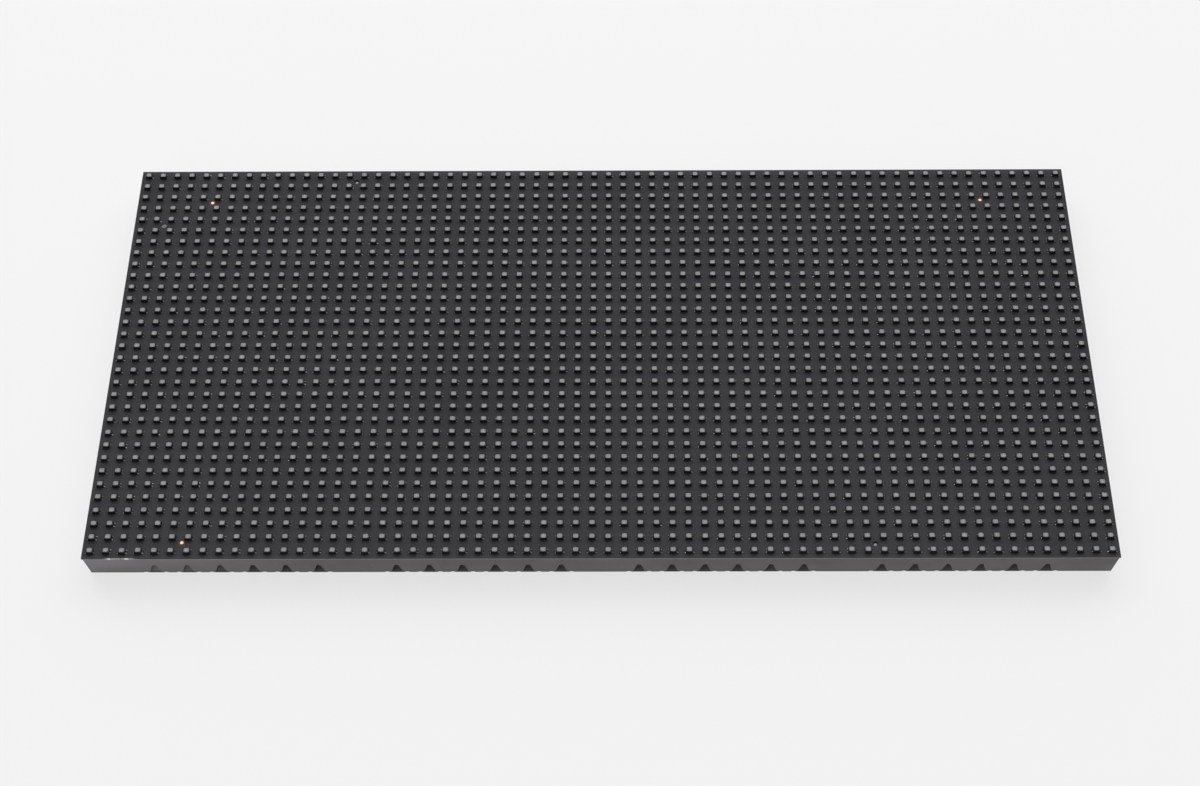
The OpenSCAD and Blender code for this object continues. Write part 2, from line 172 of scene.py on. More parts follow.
def copies(points, faces, places, turns=None, tilts=None, sizes=None, rear=False):
    """One shape many times: scaled, sheared by a small tilt, turned about Z and moved to each place,
    with every face list shifted by the point count of the copies before it. On the board's rear the
    shape is first rolled half a turn about X."""
    many = len(places)
    rolled = points * [1, -1, -1] if rear else points
    shape = np.broadcast_to(rolled, (many,) + points.shape).copy()
    if sizes is not None:
        shape *= np.asarray(sizes).reshape(many, 1, -1)
    if tilts is not None:
        shape[..., 2] += np.einsum("mpi,mi->mp", shape[..., :2], tilts)
    if turns is not None:
        c, s = np.cos(turns)[:, None], np.sin(turns)[:, None]
        x, y = shape[..., 0].copy(), shape[..., 1].copy()
        shape[..., 0] = c * x - s * y
        shape[..., 1] = s * x + c * y
    shape += np.asarray(places)[:, None, :]
    shift = np.arange(many)[:, None, None] * len(points)
    return shape.reshape(-1, 3), [(f[None] + shift).reshape(-1, f.shape[1]) for f in faces]


def put(name, points, faces, finishes, slot, kinds=None, smooth=False, spread=None):
    """A mesh from whole arrays, as an object at the origin. With a slot it rides with the module.
    kinds gives each face list its finish, and spread gives each point a place on the finish's own
    map."""
    mesh = bpy.data.meshes.new(name)
    corners = np.concatenate([f.ravel() for f in faces])
    sizes = np.concatenate([np.full(len(f), f.shape[1]) for f in faces])
    mesh.vertices.add(len(points))
    mesh.vertices.foreach_set("co", (points * MM).ravel())
    mesh.loops.add(len(corners))
    mesh.loops.foreach_set("vertex_index", corners)
    mesh.polygons.add(len(sizes))
    mesh.polygons.foreach_set("loop_start", np.concatenate([[0], np.cumsum(sizes)[:-1]]))
    mesh.polygons.foreach_set("use_smooth", np.full(len(sizes), smooth))
    for finish in finishes:
        mesh.materials.append(finish)
    if kinds is not None:
        which = np.concatenate([np.full(len(f), k) for f, k in zip(faces, kinds)])
        mesh.polygons.foreach_set("material_index", which)
    if spread is not None:
        mesh.uv_layers.new(name="own_map").data.foreach_set("uv", spread[corners].ravel())
    mesh.update(calc_edges=True)
    mesh.validate()
    piece = bpy.data.objects.new(name, mesh)
    bpy.context.scene.collection.objects.link(piece)
    if slot:
        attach(piece, "root")
    return piece


# Finishes

class Wire:
    """One socket of a finish. Arithmetic on it adds the Math node that works it out."""

    def __init__(self, tree, socket):
        self.tree = tree
        self.socket = socket

    def node(self, kind, settings, inputs, output=0):
        """Adds one node: its settings first, then a value or a link for each input."""
        made = self.tree.nodes.new("ShaderNode" + kind)
        for key, value in settings.items():
            setattr(made, key, value)
        for key, value in inputs.items():
            if isinstance(value, Wire):
                self.tree.links.new(value.socket, made.inputs[key])
            else:
                made.inputs[key].default_value = value
        return Wire(self.tree, made.outputs[output])

    def math(self, operation, first, second=0.0):
        return self.node("Math", {"operation": operation}, {0: first, 1: second})

    def __add__(self, other):
        return self.math("ADD", self, other)

    __radd__ = __add__

    def __sub__(self, other):
        return self.math("SUBTRACT", self, other)

    def __rsub__(self, other):
        return self.math("SUBTRACT", other, self)

    def __mul__(self, other):
        return self.math("MULTIPLY", self, other)

    __rmul__ = __mul__

    def __pow__(self, power):
        return self.math("POWER", self, power)

    def __abs__(self):
        return self.math("ABSOLUTE", self)

    def fraction(self):
        """What this value has beyond a whole number."""
        return self.math("FRACT", self)

    def larger(self, other):
        """The larger of two values."""
        return self.math("MAXIMUM", self, other)

    def step(self, low, high):
        """Runs smoothly from 0 at low to 1 at high."""
        ends = {"Value": self, "From Min": low, "From Max": high}
        return self.node("MapRange", {"interpolation_type": "SMOOTHSTEP"}, ends)

    def reach(self, low, high):
        """A step between two places or distances in millimetres."""
        return self.step(low * MM, high * MM)

    def tint(self, none, full):
        """Goes from one colour to the other as this value goes from 0 to 1."""
        return self.node("Mix", {"data_type": "RGBA"}, {0: self, 6: none, 7: full}, 2)

    def axes(self):
        """The X, Y and Z of this vector."""
        apart = self.node("SeparateXYZ", {}, {0: self}).socket.node
        return [Wire(self.tree, socket) for socket in apart.outputs]

    def grain(self, scale, detail=2.0, rough=0.5):
        """Cloudy noise read at this place."""
        values = {"Vector": self, "Scale": scale, "Detail": detail, "Roughness": rough}
        return self.node("TexNoise", {}, values, "Fac")

    def cells(self, scale):
        """Distance to scattered points, read at this place."""
        return self.node("TexVoronoi", {}, {"Vector": self, "Scale": scale}, "Distance")

    def stretched(self, scale, turn=0.0):
        """This place, turned about Z and stretched along each axis."""
        values = {"Vector": self, "Rotation": (0, 0, turn), "Scale": scale}
        return self.node("Mapping", {}, values)

    def own_map(self):
        """Where this place lies across and along the piece's own map."""
        return self.node("TexCoord", {}, {}, "UV").axes()[:2]

    def relief(self, depth, strength):
        """A bump whose height is this value times a depth in millimetres."""
        values = {"Height": self, "Distance": depth * MM, "Strength": strength}
        return self.node("Bump", {}, values, "Normal")


def paint(red, green, blue):
    """A display colour of 0 to 255 as the linear colour that a shader takes."""
    part = np.array([red, green, blue]) / 255
    linear = np.where(part <= 0.04045, part / 12.92, ((part + 0.055) / 1.055) ** 2.4)
    return (*linear.tolist(), 1.0)


def new_finish(name, constants):
    """A finish with its constant sockets set. Gives it, where on the piece it is read, and a call
    that leads a wire to one of its sockets."""
    finish = bpy.data.materials.new(name)
    finish.use_nodes = True
    tree = finish.node_tree
    shader = tree.nodes["Principled BSDF"]
    for key, value in constants.items():
        shader.inputs[key].default_value = value
    coordinates = tree.nodes.new("ShaderNodeTexCoord")
    place = Wire(tree, coordinates.outputs["Object"])

    def feed(key, wire):
        tree.links.new(wire.socket, shader.inputs[key])

    return finish, place, feed


def package_finish():
    """Matt black moulding compound of the lamps, a little greyer where it shows wear."""
    finish, place, feed = new_finish("led_package_black", {"Specular IOR Level": 0.3})
    speck = place.grain(1800, 3, 0.6)
    feed("Base Color", speck.step(0.35, 0.75).tint(paint(18, 18, 19), paint(30, 30, 32)))
    feed("Roughness", 0.5 + 0.2 * speck)
    feed("Normal", place.grain(9000).relief(0.01, 0.5))
    return finish


def window_finish():
    """Frosted filling of a lamp, with painted shade: palest a little in front of the middle, greyer towards
    its edge and behind, where the rim of the package shades it, with its three dice showing through
    faintly. Each lamp has its own paleness."""
    finish, place, feed = new_finish("led_window_frosted", {"Specular IOR Level": 0.2})
    across, along = place.own_map()
    # painted shade: the filling is palest a little in front of the middle and greyer towards its edge and
    # behind, where the rim of the package shades it
    ahead = along + 0.16
    middle = (across * across + ahead * ahead) ** 0.5
    cloud = place.grain(1500)
    lamp_size = (PITCH * MM, PITCH * MM, 1.0)
    cell = place.node("VectorMath", {"operation": "SNAP"}, {0: place, 1: lamp_size})
    lamp = place.node("TexWhiteNoise", {}, {"Vector": cell}, "Value")
    cool = lamp.tint(paint(137, 137, 139), paint(152, 152, 154))
    warm = lamp.tint(paint(138, 137, 133), paint(151, 150, 145))
    pale = place.grain(130, 1).step(0.35, 0.75).tint(cool, warm)
    dim = cloud.tint(paint(130, 130, 133), paint(118, 118, 122))
    filling = middle.step(0.25, 1.2).tint(pale, dim)
    row = (along * 2.4 + 0.5).fraction() - 0.5
    in_row = 1 - abs(row).step(0.2, 0.3)
    in_column = 1 - abs(across).step(0.09, 0.13)
    dice = in_row * in_column * (1 - middle.step(0.5, 0.7))
    feed("Base Color", (dice * 0.2).tint(filling, paint(84, 88, 92)))
    feed("Roughness", 0.42 + 0.2 * cloud)
    feed("Normal", place.grain(5000).relief(0.02, 0.4))
    return finish


def tin_finish():
    """Tinned metal and solder: bright, with dull frosted patches."""
    finish, place, feed = new_finish("tin_solder", {"Metallic": 1.0})
    patch = place.grain(1400, 3)
    feed("Base Color", patch.step(0.3, 0.7).tint(paint(232, 232, 229), paint(196, 196, 193)))
    feed("Roughness", 0.12 + 0.3 * patch)
    feed("Normal", place.grain(4000).relief(0.03, 0.5))
    return finish


def gold_finish():
    """Thin gold over nickel on the signal contacts."""
    finish, place, feed = new_finish("gold_plate", {"Metallic": 1.0})
    patch = place.grain(900)
    feed("Base Color", patch.step(0.3, 0.75).tint(paint(222, 184, 104), paint(196, 158, 88)))
    feed("Roughness", 0.2 + 0.2 * patch)
    return finish


def mask_colour(place, fine):
    """The mask on the board: cloudy black, greyer towards the front, and lighter along the long edges, a
    painted sheen where they catch more light.
    """
    y = place.axes()[1]
    cloud = (fine * 0.65 + place.grain(38) * 0.35).step(0.3, 0.72)
    mask = cloud.tint(paint(42, 41.5, 44.5), paint(58, 57.5, 61.5))
    forward = (0 - y).reach(10, 60)
    front = (forward * 0.35).tint(mask, paint(62, 62, 64))
    # painted sheen: the mask is lighter along the long edges, where they catch more light
    painted_edge_sheen = abs(y).reach(HALF_HEIGHT - 1.1, HALF_HEIGHT - 0.2)
    return (painted_edge_sheen * 0.3).tint(front, paint(72, 72, 74))


def cut_edge_colour(place, fine):
    """The board's cut edge: dark over a pale lower ply, and in front scuffed and chipped white."""
    x, y, z = place.axes()
    ragged = place.grain(900)
    in_front = (0 - y).reach(0, 10)
    ply = 1 - z.reach(REAR_Z + 0.12, REAR_Z + 0.26)
    dark = fine.tint(paint(56, 56, 58), paint(72, 72, 73))
    cut = (ply * (0.6 + 0.4 * fine)).tint(dark, paint(172, 171, 169))
    middle, full, gone = EDGE_SCUFF
    scuff = (1 - abs(x - middle * MM).reach(full, gone)) * ragged.step(0.42, 0.55)
    scuffed = (in_front * scuff * 0.85).tint(cut, paint(178, 177, 175))
    left, right = (abs(x - middle * MM).reach(gone, full) for middle, full, gone in EDGE_CHIPS)
    chip = (left + right) * ragged.step(0.3, 0.4)
    return (in_front * chip).tint(scuffed, paint(240, 238, 234))


def rear_copper(place):
    """Copper under the mask of the board's rear: fields of tracks one way or the other, and a filled
    hole through the board beside every lamp."""
    x, y, z = place.axes()
    tracks_per_metre = 900
    holes_per_metre = 1 / (PITCH * MM)
    rear = 1 - z.reach(REAR_Z + 0.05, REAR_Z + 0.2)
    lines_x, lines_y = (abs((axis * tracks_per_metre).fraction() - 0.5).step(0.26, 0.34) for axis in (y, x))
    field = place.grain(55, 1).step(0.47, 0.5)
    hole_x, hole_y = ((axis * holes_per_metre).fraction() - 0.5 for axis in (x, y))
    away = hole_x * hole_x + hole_y * hole_y
    tracks = rear * (field * lines_x + (1 - field) * lines_y)
    holes = rear * (1 - away.step(0.004, 0.007))
    return tracks, holes


def board_finish():
    """Matt black mask with a fine orange-peel, over the faint relief of the copper on the rear, and
    cut edges of their own colour."""
    finish, place, feed = new_finish("board_mask_black", {"Specular IOR Level": 0.18})
    x, y = place.axes()[:2]
    fine = place.grain(2600, 3, 0.65)
    tracks, holes = rear_copper(place)
    on_tracks = tracks.tint(mask_colour(place, fine), paint(58, 58, 60))
    masked = holes.tint(on_tracks, paint(86, 84, 80))
    long_edge = abs(y).reach(HALF_HEIGHT - 0.06, HALF_HEIGHT - 0.01)
    short_edge = abs(x).reach(HALF_WIDTH - 0.06, HALF_WIDTH - 0.01)
    feed("Base Color", long_edge.larger(short_edge).tint(masked, cut_edge_colour(place, fine)))
    feed("Roughness", 0.62 + 0.2 * fine - 0.12 * tracks)
    feed("Normal", (fine * 0.25 + tracks * 0.9 + holes * 0.6).relief(0.03, 0.6))
    return finish


def notch_dust(place):
    """Share of dust in the front notches: behind the wall's face, in the front rim and clear of its
    ends, most at the left."""
    x, y, z = place.axes()
    forward = 0 - y
    behind_wall = 1 - forward.reach(HALF_HEIGHT - 1.9, HALF_HEIGHT - 1.15)
    in_rim = forward.reach(HALF_HEIGHT - 5, HALF_HEIGHT - 3) * z.reach(0.1, 0.3)
    clear_of_ends = 1 - abs(x).reach(120, 123)
    left_end = (0 - x).reach(84, 112)
    return behind_wall * in_rim * clear_of_ends * (0.1 + 0.85 * left_end)


def rubber_finish():
    """Soft grey-black rubber: cloudy bloom, a fine spark-eroded mould texture, paler towards the left end,
    painted light that lightens the lower part of the long walls against the shade at their foot, and
    pale dust that has also settled in the front notches."""
    finish, place, feed = new_finish("shell_rubber_grey", {"Specular IOR Level": 0.18})
    x, y, z = place.axes()
    bloom = place.grain(60, 4, 0.6)
    fine = place.grain(3200, 2, 0.6)
    body = bloom.step(0.3, 0.75).tint(paint(107, 104.5, 105), paint(117, 115, 115.5))
    # paler towards the left end
    toward_left_end = (0 - x).reach(60, 125)
    pale = (toward_left_end * (0.4 + bloom)).tint(body, paint(137, 135, 137))
    # painted light: the lower part of the long walls is lightened against the shade that the floor's shadow
    # and the wall's foot put there
    foot = (1 - z.reach(0, 6)) * abs(y).reach(HALF_HEIGHT - 2.3, HALF_HEIGHT - 1.3)
    warm = (foot * 0.7).tint(pale, paint(134, 131, 130))
    dusty = notch_dust(place).tint(warm, paint(208, 206, 204))
    specks = place.cells(420).step(0.16, 0.05) * place.grain(240).step(0.58, 0.7)
    feed("Base Color", (specks * 0.5).tint(dusty, paint(176, 175, 172)))
    feed("Roughness", 0.7 + 0.2 * fine)
    feed("Normal", (fine * 0.6 + place.grain(700) * 0.4).relief(0.04, 0.5))
    return finish


def nickel_finish():
    """Plated magnet faces: bright nickel with fine handling scratches and grey scuffs."""
    finish, place, feed = new_finish("magnet_nickel", {"Metallic": 1.0})
    scratch = place.stretched((1, 14, 1), 0.6).grain(500, 3, 0.7)
    scuff = place.grain(260, 3)
    feed("Base Color", scuff.step(0.35, 0.75).tint(paint(202, 199, 192), paint(168, 166, 161)))
    feed("Roughness", 0.14 + 0.22 * scuff + 0.15 * scratch)
    feed("Normal", scratch.relief(0.01, 0.3))
    return finish


def chip_finish(name, chips):
    """Black moulded chip with a fine sandblast; beyond the body's width lie its tinned leads. The
    chips sit in rows that mirror each other in y."""
    finish, place, feed = new_finish(name, {"Specular IOR Level": 0.45})
    y = place.axes()[1]
    row = abs(chips[0, 1]) * MM
    lead = abs(abs(y) - row).reach(CHIP_BODY_WIDTH / 2 - 0.02, CHIP_BODY_WIDTH / 2 + 0.02)
    fine = place.grain(5200, 2, 0.6)
    broad = place.grain(300)
    black = (fine * 0.6 + broad * 0.4).tint(paint(16, 16, 17), paint(33, 33, 35))
    tinned = broad.tint(paint(208, 208, 204), paint(176, 176, 172))
    feed("Base Color", lead.tint(black, tinned))
    feed("Metallic", lead)
    feed("Roughness", lead * -0.3 + 0.55 + 0.2 * broad)
    feed("Normal", fine.relief(0.02, 0.5))
    return finish


def can_finish():
    """Drawn aluminium can with a dark half-moon on its crown, on a black moulded base. The moon is a
    stretch of the cans' spacing, counted from each can's middle."""
    finish, place, feed = new_finish("capacitor_can", {"Specular IOR Level": 0.4})
    x, z = place.axes()[::2]
    base = z.reach(REAR_Z - CAN_BASE - 0.02, REAR_Z - CAN_BASE + 0.02)
    crown = 1 - z.reach(CAN_CROWN_Z + 0.03, CAN_CROWN_Z + 0.06)
    spacing = CANS[1, 0] - CANS[0, 0]
    cell = ((x - CANS[0, 0] * MM) * (1 / (spacing * MM))).fraction()
    moon = crown * (1 - cell.step(0.36, 0.375))
    dark_share = base.larger(moon)
    drawn = place.stretched((1, 1, 30)).grain(350)
    metal = drawn.tint(paint(206, 207, 208), paint(180, 181, 183))
    dark = place.grain(2500).tint(paint(28, 28, 30), paint(42, 42, 44))
    feed("Base Color", dark_share.tint(metal, dark))
    feed("Metallic", 1 - dark_share)
    feed("Roughness", 0.26 + 0.2 * drawn + 0.25 * dark_share)
    feed("Normal", drawn.relief(0.01, 0.3))
    return finish


def moulded_finish(name, dark, light, dullness):
    """Moulded or fired body: a faint flow pattern and a fine grain."""
    finish, place, feed = new_finish(name, {"Specular IOR Level": 0.35})
    flow = place.stretched((1, 5, 5)).grain(220, 3)
    fine = place.grain(4200)
    feed("Base Color", (flow * 0.7 + fine * 0.3).step(0.25, 0.75).tint(dark, light))
    feed("Roughness", dullness + 0.2 * fine)
    feed("Normal", fine.relief(0.02, 0.4))
    return finish


def ringed_finish(name, middle_tones, ring_tones, radius, metal):
    """A round mark read on its own map: one cloudy pair of colours inside the radius, one outside."""
    finish, place, feed = new_finish(name, {"Specular IOR Level": 0.4})
    across, along = place.own_map()
    away = (across * across + along * along) ** 0.5
    ring_share = away.step(radius - 0.03, radius + 0.03)
    cloud = place.grain(2600)
    feed("Base Color", ring_share.tint(cloud.tint(*middle_tones), cloud.tint(*ring_tones)))
    feed("Roughness", 0.35 + 0.2 * cloud + ring_share * 0.2)
    if metal:
        feed("Metallic", (1 - ring_share) * metal)
    return finish


# Lamps: each quarter of the face is one piece of packages, one of windows and one of solder

QUARTERS = {
    "upper_left": (range(0, COLUMNS // 2), range(ROWS // 2, ROWS)),
    "upper_right": (range(COLUMNS // 2, COLUMNS), range(ROWS // 2, ROWS)),
    "lower_left": (range(0, COLUMNS // 2), range(0, ROWS // 2)),
    "lower_right": (range(COLUMNS // 2, COLUMNS), range(0, ROWS // 2)),
}


def package_unit():
    """One lamp package, lofted up through its foot, shoulder, top edge, window rim and well floor."""
    rim_gap, well_lean, round_change = 0.03, 0.05, 0.01
    foot = rounded_loop(LED_WIDTH, LED_DEPTH, LED_ROUND, 3)
    brow = rounded_loop(LED_WIDTH - 2 * LED_BEVEL, LED_DEPTH - 2 * LED_BEVEL, LED_ROUND, 3)
    rim = rounded_loop(WINDOW_WIDTH + rim_gap, WINDOW_DEPTH + rim_gap, WINDOW_ROUND + round_change, 3)
    well = rounded_loop(WINDOW_WIDTH - well_lean, WINDOW_DEPTH - well_lean, WINDOW_ROUND - round_change, 3)
    shoulder, top, floor = LED_TOP - 0.03, LED_TOP - 0.005, LED_TOP - 0.16
    return raised([(foot, 0), (foot, shoulder), (brow, top), (rim, top), (well, floor)])


def window_unit():
    """One frosted filling: a low dome over the well, as shares of its outline at depths below the
    package's top."""
    outline = rounded_loop(WINDOW_WIDTH, WINDOW_DEPTH, WINDOW_ROUND, 3)
    dome = ((0.97, 0.15), (1.0, 0.08), (0.72, 0.065), (0.25, 0.06))
    return raised([(outline * share, LED_TOP - depth) for share, depth in dome])


def lamp_places(columns, rows):
    """Centres of a block of lamps on the board's face: the pitch times the count from the middle."""
    x, y = np.meshgrid(np.array(columns) - (COLUMNS - 1) / 2, np.array(rows) - (ROWS - 1) / 2)
    return at_level(np.column_stack([x.ravel(), y.ravel()]) * PITCH, FACE_Z)


def make_joints(name, places, tin):
    """Two solder joints on each side of every lamp, uneven in size and smaller on its left."""
    joint = wedge((0.34, 0.46, 0.34), (0.29, 0.43, 0.29), half_length=0.14, heel=0.04, cheek=0.46, sunk=0.01)
    side = LED_WIDTH / 2
    terminals = [[x, y] for x in (side, -side) for y in (TERMINAL_REAR, TERMINAL_FRONT)]
    share = [0.92, 1.08, 0.6, 0.72]
    lamps, many = len(places), 4 * len(places)
    seats = np.repeat(places, 4, axis=0)
    seats[:, :2] += np.tile(terminals, (lamps, 1)) + chance.normal(0, [0.0, 0.03], (many, 2))
    facing = np.tile([0, 0, np.pi, np.pi], lamps) + chance.normal(0, 0.12, many)
    sizes = chance.uniform([0.75, 0.2, 0.75], [1.05, 1.0, 1.1], (many, 3)) * np.tile(share, lamps)[:, None]
    points, faces = copies(*joint, seats, facing, None, sizes)
    put(name, points, faces, [tin], "contact_tin")


def make_lamps(package_black, window_frosted, tin):
    """All lamps, each a touch shifted, turned and tilted as a placing machine leaves them."""
    package = package_unit()
    window, window_faces = window_unit()
    half_window = 0.69
    window_map = window[:, :2] / half_window
    for quarter, (columns, rows) in QUARTERS.items():
        places = lamp_places(columns, rows)
        many = len(places)
        places[:, :2] += chance.normal(0, SHIFT_SPREAD, (many, 2))
        turns = chance.normal(0, TURN_SPREAD, many)
        tilts = chance.normal(0, TILT_SPREAD, (many, 2))
        points, faces = copies(*package, places, turns, tilts)
        bodies = put("led_packages_" + quarter, points, faces, [package_black], "led_package")
        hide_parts("leds_" + quarter)
        points, faces = copies(window, window_faces, places, turns, tilts)
        spread = np.tile(window_map, (many, 1))
        put("led_windows_" + quarter, points, faces, [window_frosted], "led_package",
            smooth=True, spread=spread)
        make_joints("led_solder_" + quarter, places, tin)


# Marks on the face

def make_alignment_dots(copper):
    """Three low copper domes, each in a shallow ring of bare laminate."""
    profile = ((0.92, -0.02), (0.92, 0.012), (0.47, 0.012), (0.43, 0.045), (0.22, 0.06))
    unit, unit_faces = turned(profile)
    points, faces = copies(unit, unit_faces, at_level(DOTS, FACE_Z))
    spread = np.tile(unit[:, :2], (len(DOTS), 1))
    put("alignment_dots", points, faces, [copper], "board_mask", spread=spread)


def make_peg_tips(pale):
    """A low crown on two of the locating pegs, where they end in the board's holes, leaning a little."""
    unit = turned(((0.38, -0.47), (0.38, -0.43), (0.3, -0.39), (0.12, -0.37)), 14)
    off_centre = [[0.05, -0.12, 0], [-0.05, -0.12, 0]]
    places = at_level(OPEN_HOLES, FACE_Z) + off_centre
    tilts = np.array([[-0.1, 0.12], [0.1, 0.15]])
    points, faces = copies(*unit, places, None, tilts)
    put("peg_tips", points, faces, [pale], "shell_rubber", smooth=True)


def make_peg_cap(rimmed):
    """The third peg fills its hole up to the face: a shallow dish with a raised rim, pressed oval."""
    profile = ((0.66, -0.47), (0.68, 0.01), (0.6, 0.03), (0.46, 0.0), (0.2, -0.03))
    unit, unit_faces = turned(profile)
    off_centre = [0.15, -0.1, 0]
    place = at_level([FILLED_HOLE], FACE_Z) + off_centre
    turn = np.array([0.3])
    squeeze = np.array([[1.02, 0.82, 1.0]])
    points, faces = copies(unit, unit_faces, place, turn, None, squeeze)
    put("peg_cap", points, faces, [rimmed], "shell_rubber", smooth=True, spread=unit[:, :2])


# The rear of the board

def two_ended_unit(length, width, height, cap):
    """A chip part lofted along its length: end caps stand a little proud of the body between them."""
    step_in, edge = 0.06, 0.06
    proud = rounded_loop(width, height, 0.12)
    body = rounded_loop(width - step_in, height - step_in, 0.08)
    end = length / 2
    half = [(end, proud * 0.9), (end - edge, proud), (end - cap, proud), (end - cap, body)]
    stations = [(-x, loop) for x, loop in half] + half[::-1]
    loops = np.stack([np.column_stack([np.full(len(loop), x), loop]) for x, loop in stations])
    points, (skin, first, last) = loft(loops)
    bands = skin.reshape(len(stations) - 1, -1, 4)
    capped = np.concatenate([*bands[:3], *bands[4:]])
    return points, [bands[3], capped, first, last]


def beside_drivers(node, width):
    """Places on the board's rear of a group of parts, one beside each driver: the driver's own x, and
    the group's outer edge less half a part's width."""
    row = node_box(node)[1, 1] - width / 2
    return at_level(np.column_stack([DRIVERS[:, 0], np.sign(DRIVERS[:, 1]) * row]), REAR_Z)


def make_two_ended(name, node, size, cap, body_finish, tin, slot):
    """One chip part beside each driver, on the board's rear."""
    places = beside_drivers(node, size[1]) - [0, 0, size[2] / 2]
    points, faces = copies(*two_ended_unit(*size, cap), places, chance.normal(0, 0.03, len(places)))
    piece = put(name, points, faces, [body_finish, tin], slot, kinds=[0, 1, 1, 1])
    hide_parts(node)


def make_end_solder(tin):
    """A fillet at both ends of every two-ended part, scaled to the part's width."""
    fillet = wedge((0.12, 0.24, 0.10), (0.16, 0.34, 0.12), half_length=0.22, heel=0.06, cheek=0.3, sunk=0.0)
    groups = (("decoupling_capacitors", CERAMIC_SIZE, 2.3), ("setting_resistors", RESISTOR_SIZE, 1.5))
    ends = np.tile([1, -1], len(DRIVERS))
    turns = np.tile(np.where(ends > 0, 0, np.pi), len(groups))
    places, sizes = [], []
    for node, (length, width, height), wide in groups:
        seats = np.repeat(beside_drivers(node, width), 2, axis=0)
        seats[:, 0] += ends * length / 2
        places.append(seats)
        sizes.append(np.tile([1.9, wide, 0.7 * wide], (len(ends), 1)))
    points, faces = copies(*fillet, np.concatenate(places), turns, None, np.concatenate(sizes), rear=True)
    put("end_solder", points, faces, [tin], "contact_tin", smooth=True)


def lead_places(middle, count, pitch):
    """Feet of a two-sided chip: count places in a row, on both sides of its middle line."""
    steps = np.tile((np.arange(count) - (count - 1) / 2) * pitch, 2)
    sides = np.repeat([LEAD_REACH, -LEAD_REACH], count)
    return at_level(np.column_stack([middle[0] + steps, middle[1] + sides]), REAR_Z)


def make_lead_solder(tin):
    """A pillow of solder on the pad under every chip foot: a long rounded pad that shrinks as it
    rises."""
    length, width, corner = LEAD_PAD
    pad = rounded_loop(width, length, corner)
    unit = raised([(pad, -0.02), (pad, 0.02), (pad * 0.8, 0.07)])
    feet = [lead_places(middle, count, pitch) for chips, count, pitch in LEAD_ROWS for middle in chips]
    points, faces = copies(*unit, np.concatenate(feet), rear=True)
    put("lead_solder", points, faces, [tin], "contact_tin")


def make_capacitor_legs(tin):
    """Two flat legs that come out under each can's base, as long rounded strips."""
    strip = rounded_loop(*CAN_LEG)
    unit = raised([(strip, -0.02), (strip, 0.12), (strip * 0.94, 0.17)])
    legs = np.repeat(CANS[:, :2], 2, axis=0)
    legs[:, 0] += np.tile([CAN_LEG_REACH, -CAN_LEG_REACH], len(CANS))
    points, faces = copies(*unit, at_level(legs, REAR_Z), rear=True)
    put("capacitor_legs", points, faces, [tin], "contact_tin")


def make_test_pads(tin):
    """Round tinned pads along the board's outer cells, a pitch apart: low domes of shrinking rings."""
    unit = turned(((0.6, -0.02), (0.6, 0.02), (0.4, 0.05), (0.15, 0.06)), 14)
    x = np.add.outer(BAY_X, np.arange(-4, 5) * PITCH).ravel()
    y = np.repeat([TEST_PAD_Y, -TEST_PAD_Y], len(x))
    points, faces = copies(*unit, at_level(np.column_stack([np.tile(x, 2), y]), REAR_Z), rear=True)
    put("test_pads", points, faces, [tin], "contact_tin", smooth=True)


# Stage, light and camera

def make_stage():
    """A wide pale table just under the module. The camera and bright metal see it for the most part
    as an even white ground, so the module's shadow on it stays light."""
    half, drop, even_share = 2500.0, 0.02, 0.76
    corners = at_level(half * np.array([[-1, -1], [1, -1], [1, 1], [-1, 1]]), -drop)
    finish, place, feed = new_finish("table_white", {"Roughness": 0.9, "Specular IOR Level": 0.0})
    feed("Base Color", place.grain(2, 1).tint(paint(243, 242, 243), paint(242, 241, 243)))
    tree = finish.node_tree
    lit = Wire(tree, tree.nodes["Principled BSDF"].outputs["BSDF"])
    even = place.node("Emission", {}, {"Color": paint(245, 244.6, 245.2), "Strength": 1.0})
    kinds = ("Is Camera Ray", "Is Glossy Ray", "Is Transmission Ray")
    camera, glossy, through = (place.node("LightPath", {}, {}, kind) for kind in kinds)
    seen = camera.larger(glossy.larger(through))
    ground = place.node("MixShader", {}, {0: seen * even_share, 1: lit, 2: even})
    tree.links.new(ground.socket, tree.nodes["Material Output"].inputs["Surface"])
    put("table", corners, [np.array([[0, 1, 2, 3]])], [finish], None)


def soft_box(name, place, target, width, height, power):
    """A flat lamp as large as a studio soft box, turned so that it looks from its place at the target."""
    light = bpy.data.lights.new(name, "AREA")
    light.shape = "RECTANGLE"
    light.size = width
    light.size_y = height
    light.energy = power
    lamp = bpy.data.objects.new(name, light)
    lamp.location = place
    lamp.rotation_euler = (Vector(target) - Vector(place)).to_track_quat("-Z", "Y").to_euler()
    bpy.context.scene.collection.objects.link(lamp)


def make_light():
    """A dim white room that the camera sees as the white ground's own tone, and three soft boxes: a
    wide one high behind the module, a weak one above it and one low in front."""
    room_strength = 0.24
    world = bpy.data.worlds.new("white_room")
    bpy.context.scene.world = world
    world.use_nodes = True
    tree = world.node_tree
    dim = tree.nodes["Background"]
    dim.inputs["Color"].default_value = (1.0, 1.0, 1.0, 1.0)
    dim.inputs["Strength"].default_value = room_strength
    room = Wire(tree, dim.outputs["Background"])
    white = room.node("Background", {}, {"Color": paint(243, 243, 243), "Strength": 1.0})
    seen = room.node("LightPath", {}, {}, "Is Camera Ray")
    both = room.node("MixShader", {}, {0: seen, 1: room, 2: white})
    tree.links.new(both.socket, tree.nodes["World Output"].inputs["Surface"])
    soft_box("soft_box_behind", (0.0, 1.42, 0.94), (0, -0.02, 0), width=4.2, height=1.7, power=55.0)
    soft_box("soft_box_above", (0.0, 0.5, 1.6), (0, 0, 0), width=3.0, height=0.9, power=7.0)
    soft_box("soft_box_front", (-0.9, -2.1, 0.7), (0, 0, 0), width=2.4, height=2.4, power=18.5)


